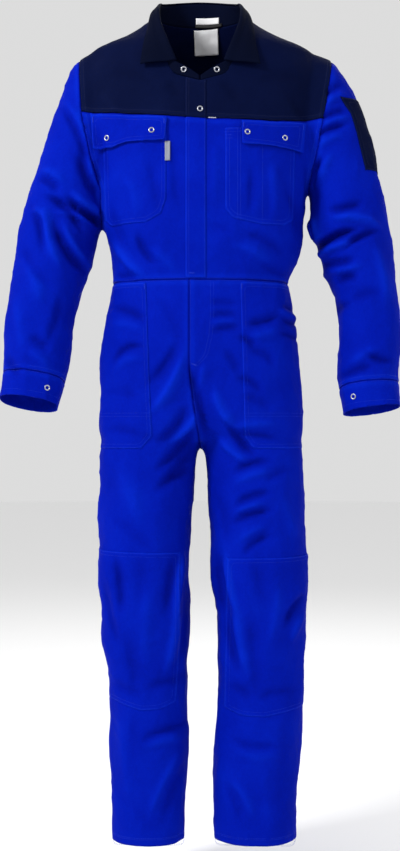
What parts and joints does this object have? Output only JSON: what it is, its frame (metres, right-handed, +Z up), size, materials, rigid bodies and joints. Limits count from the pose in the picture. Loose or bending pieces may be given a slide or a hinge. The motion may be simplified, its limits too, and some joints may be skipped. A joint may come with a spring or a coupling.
{
  "type": "boiler suit",
  "caption": "Hollow worn-shape boiler suit in blue twill with a navy yoke, shirt collar, flapped chest pockets, hip, knee and sleeve pockets and press studs.",
  "frame": {"origin": "middle of the neck, level with the shoulders, where the wearer holds the suit up", "axes": "+Z up along the body, -Y to the front, +X to the viewer's right as seen from the front"},
  "size_m": [0.761, 0.2675, 1.6221],
  "materials": {
    "blue_twill": "matt twill",
    "navy_twill": "matt twill",
    "white_tape": "satin tape",
    "grey_tape": "satin tape",
    "black_tape": "woven tape",
    "stud_metal": "satin metal"
  },
  "bodies": {
    "root": {"body_front_left": "blue_twill", "body_front_right": "blue_twill", "body_back": "blue_twill", "trouser_front_left": "blue_twill", "trouser_front_right": "blue_twill", "trouser_back_left": "blue_twill", "trouser_back_right": "blue_twill", "sleeve_left": "blue_twill", "sleeve_right": "blue_twill", "cuff_left": "blue_twill", "cuff_right": "blue_twill", "placket": "blue_twill", "chest_pocket_left": "blue_twill", "chest_pocket_right": "blue_twill", "chest_flap_left": "blue_twill", "chest_flap_right": "blue_twill", "hip_pocket_left": "blue_twill", "hip_pocket_right": "blue_twill", "knee_pocket_left": "blue_twill", "knee_pocket_right": "blue_twill", "yoke_front_left": "navy_twill", "yoke_front_right": "navy_twill", "yoke_back": "navy_twill", "collar_stand": "navy_twill", "collar_leaf": "navy_twill", "placket_upper": "navy_twill", "sleeve_pocket": "navy_twill", "stud_collar_left": "stud_metal", "stud_collar_right": "stud_metal", "stud_placket": "stud_metal", "stud_flap_left_outer": "stud_metal", "stud_flap_left_inner": "stud_metal", "stud_flap_right_inner": "stud_metal", "stud_flap_right_outer": "stud_metal", "stud_cuff_left": "stud_metal", "stud_cuff_right": "stud_metal", "neck_strip": "white_tape", "neck_label": "white_tape", "hanger_loop": "black_tape", "chest_tab": "grey_tape"}
  },
  "joints": []
}
